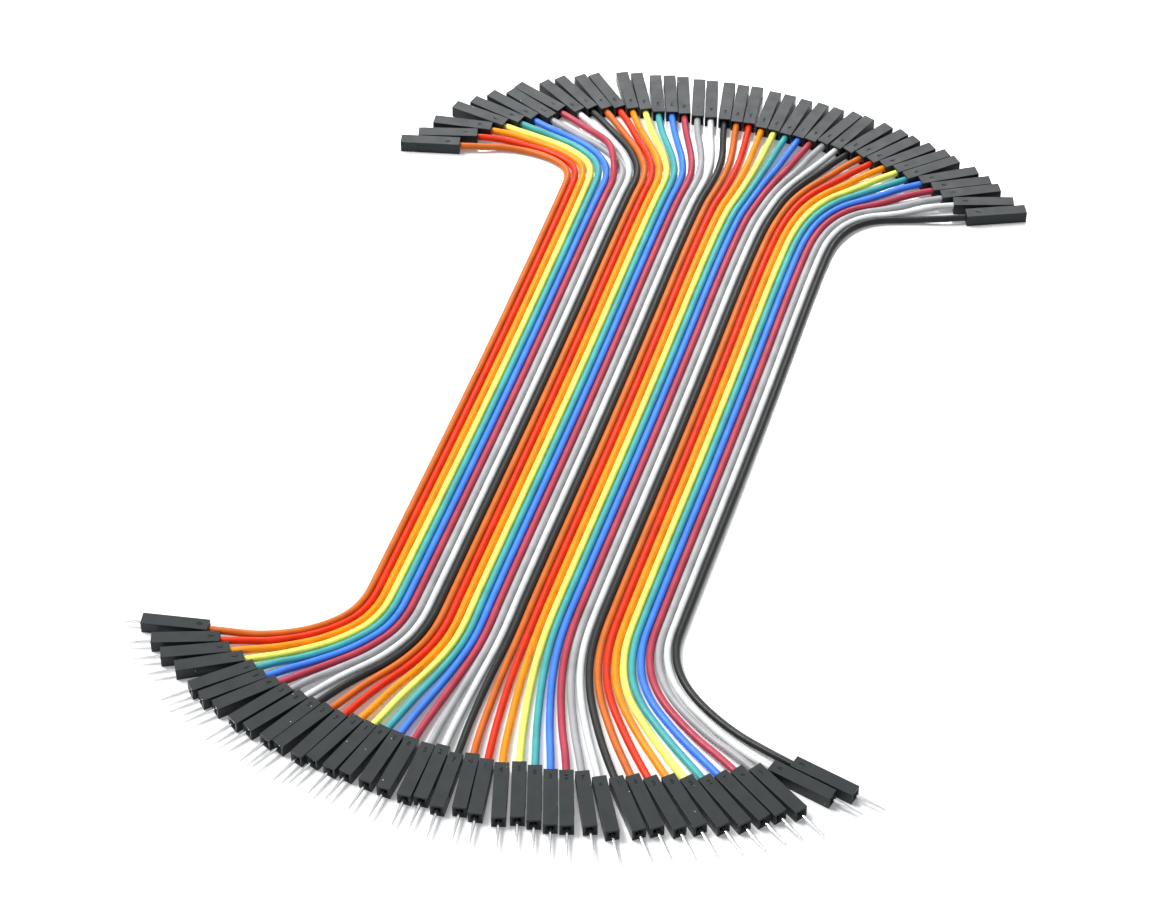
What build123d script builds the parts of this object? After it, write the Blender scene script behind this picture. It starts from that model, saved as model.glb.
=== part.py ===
from build123d import *
import os
from math import cos, hypot, pi, radians, sin, tan

# A flat ribbon of forty single jumper wires. The wires lie bonded side by side along the middle
# and fan out at both ends. Each has a socket housing on its far end (+Y) and a pin housing on its
# near end (-Y). Millimetres, +Z up. The ribbon lies on Z = 0, with the origin under its middle.

# Driving dimensions
TERMINAL_PITCH = 2.54  # a housing is one terminal pitch wide and high
HOUSING_LENGTH = 12.3
WIRE_DIAMETER = 1.4
WIRE_PITCH = 1.45  # from wire to wire in the bonded ribbon
PIN_SIDE = 0.64
PIN_REACH = 6.0  # how far a pin stands out of its housing

# Housing details
WALL = 0.32
FRONT_WALL = 2.2
MOUTH_SIDE = 1.0
LEAD_IN = 0.4
LATCH_START = 5.6
LATCH_LENGTH = 3.3
LATCH_WIDTH = 1.3
LATCH_SLOT = 0.25
CAVITY_SIDE = TERMINAL_PITCH - 2 * WALL
CAVITY_LENGTH = HOUSING_LENGTH - FRONT_WALL
AXIS_HEIGHT = TERMINAL_PITCH / 2

# Contact details
WIRE_INSERT = 1.6  # how deep the wire's end sits in its housing
BARREL_SIDE = 1.1
BARREL_LENGTH = 2.6
CONTACT_SIDE = CAVITY_SIDE - 0.1
CONTACT_START = WIRE_INSERT + BARREL_LENGTH
CONTACT_LENGTH = CAVITY_LENGTH - CONTACT_START
BORE_SIDE = 0.7
BORE_DEPTH = 5.0
PIN_TIP_LENGTH = 0.8
PIN_TIP_SIDE = 0.32

# Wires: four banks of ten colours
BANK_COLOURS = ["brown", "red", "orange", "yellow", "green", "blue", "crimson", "grey", "white", "black"]
BANK_SIZE = len(BANK_COLOURS)
BANK_COUNT = 4
WIRE_COUNT = BANK_SIZE * BANK_COUNT
WIRE_REST = WIRE_DIAMETER / 2  # height of the axis of a wire that lies on the table
WIRE_LEAD = 3.0  # straight length outside a housing

# Each housing lies where the ribbon's spread leaves it: the middle of its wire end as x and y,
# then the way that its mating end points, in degrees from +X.
SOCKET_PLACES = [
    (-28.0, 82.7, 175.5), (-24.4, 85.6, 178.0), (-21.5, 87.7, 169.0), (-18.6, 89.0, 151.0),
    (-15.3, 89.9, 146.5), (-12.5, 90.9, 140.0), (-8.9, 91.1, 136.5), (-6.9, 93.5, 139.0),
    (-3.1, 93.0, 128.5), (-0.4, 93.9, 125.0), (2.6, 93.8, 118.0), (5.4, 94.1, 117.0),
    (8.1, 93.6, 100.5), (10.8, 93.3, 98.5), (13.5, 92.4, 92.5), (16.3, 92.3, 91.5),
    (18.9, 91.8, 90.5), (21.6, 91.0, 86.5), (24.4, 90.5, 87.0), (27.2, 89.9, 83.0),
    (29.7, 89.1, 81.0), (32.3, 88.6, 79.5), (34.8, 87.2, 73.5), (37.3, 86.3, 70.5),
    (39.7, 85.1, 65.5), (42.3, 84.2, 61.0), (44.7, 83.1, 57.0), (47.3, 82.4, 50.0),
    (49.9, 80.9, 51.0), (52.3, 79.8, 41.5), (54.8, 78.4, 37.0), (56.9, 76.7, 34.5),
    (59.4, 75.3, 29.0), (62.0, 73.8, 25.5), (63.8, 71.7, 25.5), (66.8, 70.3, 14.5),
    (69.1, 68.2, 10.0), (70.8, 65.8, 10.0), (73.1, 63.6, 0.0), (75.4, 59.9, 6.0),
]
PIN_PLACES = [
    (-69.4, -52.8, 172.0), (-67.2, -55.5, -178.5), (-65.3, -58.0, -173.5), (-62.6, -60.1, -168.5),
    (-60.5, -62.1, -155.0), (-58.6, -64.1, -153.0), (-56.2, -65.7, -150.5), (-54.1, -67.3, -140.5),
    (-51.4, -69.0, -140.5), (-49.1, -70.4, -134.0), (-46.7, -71.8, -134.5), (-44.4, -73.4, -128.0),
    (-41.5, -74.3, -129.0), (-39.2, -75.7, -124.5), (-36.7, -76.6, -122.5), (-34.4, -77.8, -116.0),
    (-31.9, -79.1, -112.5), (-29.1, -80.4, -108.5), (-26.5, -80.8, -107.0), (-24.2, -82.6, -104.5),
    (-21.4, -82.7, -99.5), (-18.9, -83.9, -98.5), (-16.3, -84.7, -92.0), (-13.3, -84.5, -91.0),
    (-10.6, -85.3, -90.5), (-7.9, -86.2, -90.0), (-5.2, -86.4, -89.5), (-2.5, -86.6, -83.5),
    (0.4, -87.8, -79.5), (3.3, -87.9, -71.5), (6.1, -87.5, -70.0), (9.1, -87.9, -66.0),
    (12.2, -87.6, -64.0), (15.3, -87.9, -59.5), (18.4, -87.8, -56.5), (21.2, -87.0, -53.5),
    (24.0, -86.0, -53.5), (27.2, -85.6, -51.5), (30.1, -85.2, -33.5), (34.0, -84.4, -33.0),
]
SWAPPED_SOCKETS = {7: 8, 8: 7}  # these two wires cross, so each ends in the other's place

# The ribbon's middle line, from its far end to its near end, with a slight bow
RIBBON_FAR = (17.35, 50.2)
RIBBON_MIDDLE = (5.0, 8.6)
RIBBON_NEAR = (-8.2, -32.9)

# Where the guide wires bend on their way from the ribbon to their housings: first how far past
# the ribbon's end mark the wire leaves its lane, then three points. Wires between two guide wires
# lie evenly between them.
SOCKET_FAN = {
    1: (11.0, (-5.1, 75.3), (-9.1, 79.7), (-17.2, 82.8)),
    3: (11.0, (-1.8, 76.7), (-6.5, 81.5), (-12.6, 84.7)),
    5: (10.0, (1.6, 76.3), (-2.6, 82.5), (-8.3, 86.3)),
    6: (9.0, (3.2, 74.9), (0.4, 81.7), (-4.6, 85.9)),
    10: (11.3, (9.3, 74.4), (7.7, 81.5), (4.9, 86.5)),
    15: (12.1, (16.6, 73.4), (16.4, 78.8), (15.2, 83.8)),
    20: (13.0, (24.4, 72.0), (26.0, 77.0), (26.7, 81.6)),
    25: (11.0, (31.4, 67.8), (33.6, 72.4), (36.0, 77.3)),
    30: (7.1, (37.8, 64.7), (41.6, 70.0), (46.4, 74.6)),
    35: (3.4, (42.6, 58.1), (48.2, 64.8), (55.2, 68.2)),
    40: (3.5, (49.2, 54.9), (55.2, 59.6), (64.0, 59.8)),
}
PIN_FAN = {
    1: (12.4, (-42.5, -47.3), (-50.2, -52.2), (-59.5, -53.8)),
    5: (15.0, (-37.8, -50.7), (-45.1, -56.2), (-52.7, -59.3)),
    10: (13.8, (-30.4, -52.7), (-35.9, -59.5), (-42.7, -64.1)),
    15: (13.5, (-22.9, -54.2), (-26.9, -61.4), (-31.8, -68.3)),
    20: (10.4, (-15.4, -54.2), (-18.8, -63.6), (-22.0, -73.6)),
    25: (8.4, (-7.9, -54.1), (-9.6, -64.1), (-10.4, -74.6)),
    30: (9.0, (-1.0, -57.0), (-1.4, -66.6), (0.4, -77.1)),
    35: (10.0, (6.2, -58.4), (6.6, -67.8), (11.8, -77.4)),
    40: (8.4, (13.7, -58.0), (15.8, -66.8), (23.2, -76.1)),
}

# The two wires that cross: wire 7 goes over wire 8 in a long low hump.
HUMP_HEIGHT = WIRE_REST + 1.2 * WIRE_DIAMETER
CROSSING_POINTS = {
    7: [
        (4.1, 72.9, WIRE_REST), (4.0, 77.8, HUMP_HEIGHT),
        (2.9, 83.0, HUMP_HEIGHT), (-1.1, 87.8, AXIS_HEIGHT),
    ],
    8: [
        (6.0, 73.9, WIRE_REST), (5.2, 77.8, WIRE_REST),
        (1.9, 82.7, WIRE_REST), (-2.9, 86.4, WIRE_REST),
    ],
}


def direction(start, end):
    """Return the unit vector from one plan point to another."""
    length = hypot(end[0] - start[0], end[1] - start[1])
    return (end[0] - start[0]) / length, (end[1] - start[1]) / length


def mix(first, second, share):
    """Return the value or the point that lies at a share of the way from first to second."""
    if isinstance(first, tuple):
        return tuple(mix(a, b, share) for a, b in zip(first, second))
    return first + (second - first) * share


def fan_of(fan, wire):
    """Return the leaving distance and the three bend points of one wire of a fan."""
    before = max(guide for guide in fan if guide <= wire)
    after = min(guide for guide in fan if guide >= wire)
    if before == after:
        return fan[wire]
    share = (wire - before) / (after - before)
    return mix(fan[before], fan[after], share)


def lane_point(middle, along, distance, wire):
    """Return the point of a wire's lane at a distance past a point of the ribbon's middle line."""
    ribbon_x, ribbon_y = direction(RIBBON_FAR, RIBBON_NEAR)
    offset = (wire - (WIRE_COUNT + 1) / 2) * WIRE_PITCH
    x = middle[0] + along[0] * distance - ribbon_y * offset
    y = middle[1] + along[1] * distance + ribbon_x * offset
    return x, y, WIRE_REST


def housing_points(place):
    """Return the wire's end inside a housing and its last point outside it."""
    x, y, heading = place
    step_x = cos(radians(heading))
    step_y = sin(radians(heading))
    end = (x + step_x * WIRE_INSERT, y + step_y * WIRE_INSERT, AXIS_HEIGHT)
    lead = (x - step_x * WIRE_LEAD, y - step_y * WIRE_LEAD, AXIS_HEIGHT)
    return end, lead


def wire_route(wire):
    """Return the points of one wire's middle line, from its socket end to its pin end."""
    socket_end, socket_lead = housing_points(SOCKET_PLACES[SWAPPED_SOCKETS.get(wire, wire) - 1])
    pin_end, pin_lead = housing_points(PIN_PLACES[wire - 1])
    far_distance, *far_bends = fan_of(SOCKET_FAN, wire)
    near_distance, *near_bends = fan_of(PIN_FAN, wire)
    far_points = [(x, y, WIRE_REST) for x, y in far_bends]
    near_points = [(x, y, WIRE_REST) for x, y in near_bends]
    far_points = CROSSING_POINTS.get(wire, far_points)
    return [
        socket_end,
        socket_lead,
        *reversed(far_points),
        lane_point(RIBBON_FAR, direction(RIBBON_MIDDLE, RIBBON_FAR), far_distance, wire),
        lane_point(RIBBON_MIDDLE, (0, 0), 0, wire),
        lane_point(RIBBON_NEAR, direction(RIBBON_MIDDLE, RIBBON_NEAR), near_distance, wire),
        *near_points,
        pin_lead,
        pin_end,
    ]


def bend_radii(points):
    """Return the largest arc that each corner of a route has room for."""
    radii = []
    for before, corner, after in zip(points, points[1:], points[2:]):
        run_in = Vector(*corner) - Vector(*before)
        run_out = Vector(*after) - Vector(*corner)
        half_turn = radians(run_in.get_angle(run_out)) / 2
        radii.append(0.45 * min(run_in.length, run_out.length) / tan(half_turn))
    return radii


def housing_locations(places, bank):
    """Return where the ten housings of one bank lie."""
    rows = places[bank * BANK_SIZE : (bank + 1) * BANK_SIZE]
    return [Location((x, y, 0), (0, 0, heading)) for x, y, heading in rows]


os.makedirs("parts", exist_ok=True)

# One housing, from its wire end at X = 0 to its mating end, lying on its underside
with BuildPart() as housing:
    with BuildSketch(Plane.YZ):
        with Locations((0, AXIS_HEIGHT)):
            Rectangle(TERMINAL_PITCH, TERMINAL_PITCH)
    extrude(amount=HOUSING_LENGTH)
    with BuildSketch(Plane.YZ):
        with Locations((0, AXIS_HEIGHT)):
            Rectangle(CAVITY_SIDE, CAVITY_SIDE)
    extrude(amount=CAVITY_LENGTH, mode=Mode.SUBTRACT)
    with BuildSketch(Plane.YZ):
        with Locations((0, AXIS_HEIGHT)):
            Rectangle(MOUTH_SIDE, MOUTH_SIDE)
    extrude(amount=HOUSING_LENGTH, mode=Mode.SUBTRACT)
    mating_face = housing.faces().sort_by(Axis.X)[-1]
    chamfer(mating_face.inner_wires()[0].edges(), LEAD_IN)
    # The latch is a tongue in a window of the side wall, free at the end near the mouth.
    with Locations((LATCH_START, CAVITY_SIDE / 2, AXIS_HEIGHT)):
        Box(
            LATCH_LENGTH, WALL, LATCH_WIDTH,
            align=(Align.MIN, Align.MIN, Align.CENTER), mode=Mode.SUBTRACT,
        )
        Box(
            LATCH_LENGTH - LATCH_SLOT, WALL, LATCH_WIDTH - 2 * LATCH_SLOT,
            align=(Align.MIN, Align.MIN, Align.CENTER),
        )

# One socket contact: a barrel closed on the wire's end, then a box with the bore for a pin
with BuildPart() as socket_contact:
    with BuildSketch(Plane.YZ.offset(WIRE_INSERT)):
        with Locations((0, AXIS_HEIGHT)):
            Rectangle(BARREL_SIDE, BARREL_SIDE)
    extrude(amount=BARREL_LENGTH)
    with BuildSketch(Plane.YZ.offset(CONTACT_START)):
        with Locations((0, AXIS_HEIGHT)):
            Rectangle(CONTACT_SIDE, CONTACT_SIDE)
    extrude(amount=CONTACT_LENGTH)
    with BuildSketch(Plane.YZ.offset(CAVITY_LENGTH)):
        with Locations((0, AXIS_HEIGHT)):
            Rectangle(BORE_SIDE, BORE_SIDE)
    extrude(amount=-BORE_DEPTH, mode=Mode.SUBTRACT)

# One pin contact: the same barrel and box, with a square pin that tapers at its tip
with BuildPart() as pin_contact:
    with BuildSketch(Plane.YZ.offset(WIRE_INSERT)):
        with Locations((0, AXIS_HEIGHT)):
            Rectangle(BARREL_SIDE, BARREL_SIDE)
    extrude(amount=BARREL_LENGTH)
    with BuildSketch(Plane.YZ.offset(CONTACT_START)):
        with Locations((0, AXIS_HEIGHT)):
            Rectangle(CONTACT_SIDE, CONTACT_SIDE)
    extrude(amount=CONTACT_LENGTH)
    with BuildSketch(Plane.YZ.offset(CAVITY_LENGTH)):
        with Locations((0, AXIS_HEIGHT)):
            Rectangle(PIN_SIDE, PIN_SIDE)
    extrude(amount=FRONT_WALL + PIN_REACH)
    pin_end = pin_contact.faces().sort_by(Axis.X)[-1]
    chamfer(pin_end.edges(), (PIN_SIDE - PIN_TIP_SIDE) / 2, PIN_TIP_LENGTH, reference=pin_end)

# Ten of each piece to a bank
PIECES = [
    ("socket_housings", housing, SOCKET_PLACES),
    ("socket_contacts", socket_contact, SOCKET_PLACES),
    ("pin_housings", housing, PIN_PLACES),
    ("pin_contacts", pin_contact, PIN_PLACES),
]
for piece_name, piece, places in PIECES:
    for bank in range(BANK_COUNT):
        with BuildPart() as group:
            with Locations(*housing_locations(places, bank)):
                add(piece.part)
        group.part.label = f"{piece_name}_bank_{bank + 1}"
        export_step(group.part, f"parts/{group.part.label}.step")

# The wires
WIRE_SECTION = pi * WIRE_DIAMETER**2 / 4
for number in range(1, WIRE_COUNT + 1):
    colour = BANK_COLOURS[(number - 1) % BANK_SIZE]
    route = wire_route(number)
    radii = bend_radii(route)
    with BuildPart() as wire:
        with BuildLine() as path:
            FilletPolyline(*route, radius=radii)
        with BuildSketch(Plane(origin=path.line @ 0, z_dir=path.line % 0)):
            Circle(WIRE_DIAMETER / 2)
        sweep(path=path.line)
    wire.part.label = f"wire_{number:02d}_{colour}"
    export_step(wire.part, f"parts/{wire.part.label}.step")
    length = sum(edge.length for edge in path.edges())
    fill = wire.part.volume / (WIRE_SECTION * length)
    arcs = ", ".join(f"{radius:.0f}" for radius in radii)
    print(f"{wire.part.label}: {length:.1f} mm long, volume {fill:.3f} of its tube, arcs {arcs}")
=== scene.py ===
"""A flat ribbon of forty jumper wires, with socket housings at its far end and pins at its near end.

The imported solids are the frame. The wires are smooth splines on the routes of the solids, and the
housings and pin contacts are remade with rounded edges, latch tongues and mould numbers.
"""

import logging
import math
from dataclasses import dataclass, field
from enum import Enum

import bmesh
import bpy
from mathutils import Matrix, Vector


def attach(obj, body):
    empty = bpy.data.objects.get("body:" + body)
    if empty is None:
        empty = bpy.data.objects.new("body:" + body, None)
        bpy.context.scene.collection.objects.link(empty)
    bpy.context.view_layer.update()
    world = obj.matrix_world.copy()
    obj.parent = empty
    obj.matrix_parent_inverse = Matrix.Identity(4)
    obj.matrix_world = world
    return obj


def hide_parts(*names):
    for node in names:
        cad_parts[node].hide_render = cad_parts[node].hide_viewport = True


log = logging.getLogger("jumper_ribbon")

MM = 0.001
Point = tuple[float, float, float]  # x, y and z
Place = tuple[float, float, float]  # x, y and the heading in degrees
Colour = tuple[float, float, float]  # red, green and blue in linear light

# Sizes that every sub-assembly shares, in millimetres
TERMINAL_PITCH = 2.54
HOUSING_LENGTH = 12.3
AXIS_HEIGHT = TERMINAL_PITCH / 2
WIRE_INSERT = 1.6
WIRE_DIAMETER = 1.4
BANK_SIZE = 10
BANK_COUNT = 4
WIRE_COUNT = BANK_SIZE * BANK_COUNT

# The colour sockets of a Mix node, by their number
MIX_FIRST = 6
MIX_SECOND = 7
MIX_RESULT = 2


class End(Enum):
    """The two ends of the ribbon, by what their housings hold."""

    SOCKET = "socket"
    PIN = "pin"


class Insulation(Enum):
    """The ten insulation colours of a bank, in the order of its wires, as sRGB codes.

    The codes were corrected by a program that compared the render's colours with the photograph's.
    """

    BROWN = "c4621c"
    RED = "d42d01"
    ORANGE = "f28d08"
    YELLOW = "f6f16e"
    GREEN = "419da1"
    BLUE = "3e7bec"
    CRIMSON = "aa394b"
    GREY = "a0a1a4"
    WHITE = "d3d6d6"
    BLACK = "1e2021"


def linear(code: str) -> Colour:
    """Turn an sRGB code into a linear colour.

    Args:
        code: Six hexadecimal digits.

    Returns:
        The red, green and blue of the colour in linear light.
    """
    parts = [int(code[i : i + 2], 16) / 255 for i in (0, 2, 4)]
    return tuple(p / 12.92 if p <= 0.04045 else ((p + 0.055) / 1.055) ** 2.4 for p in parts)


@dataclass(frozen=True)
class Lay:
    """Where the photograph shows every housing and every wire, in millimetres on the table.

    A place is the middle of a housing's wire end and the way that its mating end points, in
    degrees. A fan holds, for each guide wire, how far past the ribbon's end mark it leaves its
    lane, and three bend points. The wires between two guide wires lie evenly between them. The
    places and most of the bends were fitted to the photograph by a program.
    """

    wire_pitch: float = 1.45
    wire_lead: float = 3.0
    hump_height: float = WIRE_DIAMETER / 2 + 1.2 * WIRE_DIAMETER
    ribbon_far: tuple[float, float] = (17.35, 50.2)
    ribbon_middle: tuple[float, float] = (5.0, 8.6)
    ribbon_near: tuple[float, float] = (-8.2, -32.9)
    socket_places: tuple[Place, ...] = (
        (-28.0, 82.7, 175.5), (-24.4, 85.6, 178.0), (-21.5, 87.7, 169.0), (-18.6, 89.0, 151.0),
        (-15.3, 89.9, 146.5), (-12.5, 90.9, 140.0), (-8.9, 91.1, 136.5), (-6.9, 93.5, 139.0),
        (-3.1, 93.0, 128.5), (-0.4, 93.9, 125.0), (2.6, 93.8, 118.0), (5.4, 94.1, 117.0),
        (8.1, 93.6, 100.5), (10.8, 93.3, 98.5), (13.5, 92.4, 92.5), (16.3, 92.3, 91.5),
        (18.9, 91.8, 90.5), (21.6, 91.0, 86.5), (24.4, 90.5, 87.0), (27.2, 89.9, 83.0),
        (29.7, 89.1, 81.0), (32.3, 88.6, 79.5), (34.8, 87.2, 73.5), (37.3, 86.3, 70.5),
        (39.7, 85.1, 65.5), (42.3, 84.2, 61.0), (44.7, 83.1, 57.0), (47.3, 82.4, 50.0),
        (49.9, 80.9, 51.0), (52.3, 79.8, 41.5), (54.8, 78.4, 37.0), (56.9, 76.7, 34.5),
        (59.4, 75.3, 29.0), (62.0, 73.8, 25.5), (63.8, 71.7, 25.5), (66.8, 70.3, 14.5),
        (69.1, 68.2, 10.0), (70.8, 65.8, 10.0), (73.1, 63.6, 0.0), (75.4, 59.9, 6.0),
    )
    pin_places: tuple[Place, ...] = (
        (-69.4, -52.8, 172.0), (-67.2, -55.5, -178.5), (-65.3, -58.0, -173.5), (-62.6, -60.1, -168.5),
        (-60.5, -62.1, -155.0), (-58.6, -64.1, -153.0), (-56.2, -65.7, -150.5), (-54.1, -67.3, -140.5),
        (-51.4, -69.0, -140.5), (-49.1, -70.4, -134.0), (-46.7, -71.8, -134.5), (-44.4, -73.4, -128.0),
        (-41.5, -74.3, -129.0), (-39.2, -75.7, -124.5), (-36.7, -76.6, -122.5), (-34.4, -77.8, -116.0),
        (-31.9, -79.1, -112.5), (-29.1, -80.4, -108.5), (-26.5, -80.8, -107.0), (-24.2, -82.6, -104.5),
        (-21.4, -82.7, -99.5), (-18.9, -83.9, -98.5), (-16.3, -84.7, -92.0), (-13.3, -84.5, -91.0),
        (-10.6, -85.3, -90.5), (-7.9, -86.2, -90.0), (-5.2, -86.4, -89.5), (-2.5, -86.6, -83.5),
        (0.4, -87.8, -79.5), (3.3, -87.9, -71.5), (6.1, -87.5, -70.0), (9.1, -87.9, -66.0),
        (12.2, -87.6, -64.0), (15.3, -87.9, -59.5), (18.4, -87.8, -56.5), (21.2, -87.0, -53.5),
        (24.0, -86.0, -53.5), (27.2, -85.6, -51.5), (30.1, -85.2, -33.5), (34.0, -84.4, -33.0),
    )
    swapped_sockets: dict[int, int] = field(default_factory=lambda: {7: 8, 8: 7})
    socket_fan: dict[int, tuple] = field(default_factory=lambda: {
        1: (11.0, (-5.1, 75.3), (-9.1, 79.7), (-17.2, 82.8)),
        3: (11.0, (-1.8, 76.7), (-6.5, 81.5), (-12.6, 84.7)),
        5: (10.0, (1.6, 76.3), (-2.6, 82.5), (-8.3, 86.3)),
        6: (9.0, (3.2, 74.9), (0.4, 81.7), (-4.6, 85.9)),
        10: (11.3, (9.3, 74.4), (7.7, 81.5), (4.9, 86.5)),
        15: (12.1, (16.6, 73.4), (16.4, 78.8), (15.2, 83.8)),
        20: (13.0, (24.4, 72.0), (26.0, 77.0), (26.7, 81.6)),
        25: (11.0, (31.4, 67.8), (33.6, 72.4), (36.0, 77.3)),
        30: (7.1, (37.8, 64.7), (41.6, 70.0), (46.4, 74.6)),
        35: (3.4, (42.6, 58.1), (48.2, 64.8), (55.2, 68.2)),
        40: (3.5, (49.2, 54.9), (55.2, 59.6), (64.0, 59.8)),
    })
    pin_fan: dict[int, tuple] = field(default_factory=lambda: {
        1: (12.4, (-42.5, -47.3), (-50.2, -52.2), (-59.5, -53.8)),
        5: (15.0, (-37.8, -50.7), (-45.1, -56.2), (-52.7, -59.3)),
        10: (13.8, (-30.4, -52.7), (-35.9, -59.5), (-42.7, -64.1)),
        15: (13.5, (-22.9, -54.2), (-26.9, -61.4), (-31.8, -68.3)),
        20: (10.4, (-15.4, -54.2), (-18.8, -63.6), (-22.0, -73.6)),
        25: (8.4, (-7.9, -54.1), (-9.6, -64.1), (-10.4, -74.6)),
        30: (9.0, (-1.0, -57.0), (-1.4, -66.6), (0.4, -77.1)),
        35: (10.0, (6.2, -58.4), (6.6, -67.8), (11.8, -77.4)),
        40: (8.4, (13.7, -58.0), (15.8, -66.8), (23.2, -76.1)),
    })

    def places(self, end: End) -> tuple[Place, ...]:
        """Return the places of the housings at one end of the ribbon."""
        return self.socket_places if end is End.SOCKET else self.pin_places

    def matrix(self, end: End, number: int) -> Matrix:
        """Return the move that lays a housing from the drawing's millimetres to its place.

        Args:
            end: The end of the ribbon.
            number: The housing's number, from 1.

        Returns:
            A matrix from millimetres along the housing to metres in the frame.
        """
        x, y, heading = self.places(end)[number - 1]
        turn = Matrix.Rotation(math.radians(heading), 4, "Z")
        return Matrix.Translation((x * MM, y * MM, 0)) @ turn @ Matrix.Scale(MM, 4)

    def crossing_points(self) -> dict[int, list[Point]]:
        """Return the bends of the two wires that cross, wire 7 over wire 8 in a long low hump."""
        rest = WIRE_DIAMETER / 2
        top = self.hump_height
        return {
            7: [(4.1, 72.9, rest), (4.0, 77.8, top), (2.9, 83.0, top), (-1.1, 87.8, AXIS_HEIGHT)],
            8: [(6.0, 73.9, rest), (5.2, 77.8, rest), (1.9, 82.7, rest), (-2.9, 86.4, rest)],
        }

    def route(self, wire: int) -> list[Point]:
        """Return one wire's middle line, from its socket end to its pin end.

        Args:
            wire: The wire's number, from 1 at the left.

        Returns:
            The control points of the line, in metres.
        """
        rest = WIRE_DIAMETER / 2
        socket_end, socket_lead = self._housing_points(
            self.socket_places[self.swapped_sockets.get(wire, wire) - 1]
        )
        pin_end, pin_lead = self._housing_points(self.pin_places[wire - 1])
        far_distance, *far_bends = self._fan_of(self.socket_fan, wire)
        near_distance, *near_bends = self._fan_of(self.pin_fan, wire)
        far_points = [(x, y, rest) for x, y in far_bends]
        near_points = [(x, y, rest) for x, y in near_bends]
        far_points = self.crossing_points().get(wire, far_points)
        points = [
            socket_end,
            socket_lead,
            *reversed(far_points),
            self._lane_point(self.ribbon_far, self.ribbon_far, far_distance, wire),
            self._lane_point(self.ribbon_middle, self.ribbon_far, 0, wire),
            self._lane_point(self.ribbon_near, self.ribbon_near, near_distance, wire),
            *near_points,
            pin_lead,
            pin_end,
        ]
        return [(x * MM, y * MM, z * MM) for x, y, z in points]

    def _housing_points(self, place: Place) -> tuple[Point, Point]:
        """Return the wire's end inside a housing and its last point outside it."""
        x, y, heading = place
        step_x = math.cos(math.radians(heading))
        step_y = math.sin(math.radians(heading))
        end = (x + step_x * WIRE_INSERT, y + step_y * WIRE_INSERT, AXIS_HEIGHT)
        lead = (x - step_x * self.wire_lead, y - step_y * self.wire_lead, AXIS_HEIGHT)
        return end, lead

    def _fan_of(self, fan: dict[int, tuple], wire: int) -> tuple:
        """Return the leaving distance and the three bend points of one wire of a fan."""
        before = max(guide for guide in fan if guide <= wire)
        after = min(guide for guide in fan if guide >= wire)
        if before == after:
            return fan[wire]
        return self._mix(fan[before], fan[after], (wire - before) / (after - before))

    def _mix(self, first: float | tuple, second: float | tuple, share: float) -> float | tuple:
        """Return what lies at a share of the way from the first value or point to the second."""
        if isinstance(first, tuple):
            return tuple(self._mix(a, b, share) for a, b in zip(first, second))
        return first + (second - first) * share

    def _lane_point(
        self, start: tuple[float, float], towards: tuple[float, float], distance: float, wire: int
    ) -> Point:
        """Return a point of a wire's lane in the bonded ribbon.

        Args:
            start: A point of the ribbon's middle line.
            towards: The end mark of the ribbon that the distance leads past.
            distance: How far past the start, away from the ribbon's middle.
            wire: The wire's number.

        Returns:
            The point, at the height of a wire that rests on the table.
        """
        along = (Vector(self.ribbon_near) - Vector(self.ribbon_far)).normalized()
        out = (Vector(towards) - Vector(self.ribbon_middle)).normalized()
        offset = (wire - (WIRE_COUNT + 1) / 2) * self.wire_pitch
        x = start[0] + out.x * distance - along.y * offset
        y = start[1] + out.y * distance + along.x * offset
        return x, y, WIRE_DIAMETER / 2


@dataclass(frozen=True)
class Blotches:
    """Soft blotches: their scale, and how far below and above its middle they take a value."""

    scale: float
    below: float
    above: float


@dataclass(frozen=True)
class Grain:
    """A fine raised grain: its scale, its share of pits, its strength and its height in metres."""

    scale: float
    pits: float
    strength: float
    height: float


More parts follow.
